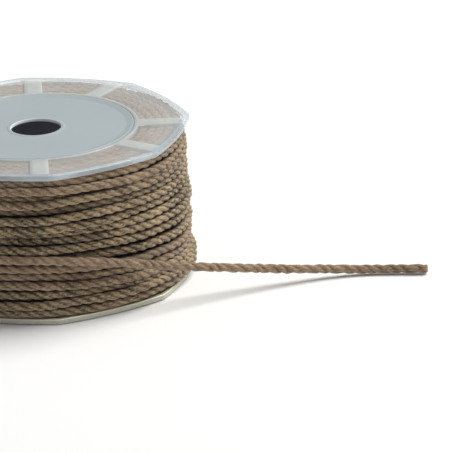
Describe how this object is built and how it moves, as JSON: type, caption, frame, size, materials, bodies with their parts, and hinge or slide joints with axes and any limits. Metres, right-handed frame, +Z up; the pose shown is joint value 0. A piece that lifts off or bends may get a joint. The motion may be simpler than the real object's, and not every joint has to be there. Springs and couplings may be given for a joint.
{
  "type": "cotton cord on a spool",
  "caption": "Twisted three-strand cotton cord wound on a clear eight-sided plastic spool, its loose end running out along the table.",
  "frame": {"origin": "middle of the lower flange's underside, on the spool's axis, where the spool stands", "axes": "+Z up along the spool's axis; the cord's loose end leaves the winding at the front, which is -Y, and runs off towards +X"},
  "size_m": [0.1744, 0.1009, 0.0503],
  "materials": {
    "clear_plastic": "clear moulded plastic, glossy, with frosted raised bands",
    "frosted_plastic": "frosted moulded plastic, grey-blue",
    "hub_inside": "frosted plastic in shadow",
    "cotton": "dyed brown cotton, matte, three twisted strands with short fibres"
  },
  "bodies": {
    "root": {"flange_bottom": "clear_plastic", "flange_top": "clear_plastic", "hub_disc_bottom": "frosted_plastic", "hub_disc_top": "frosted_plastic", "hub_drum": "hub_inside", "cord_winding": "cotton", "cord_loose_end": "cotton"}
  },
  "joints": []
}
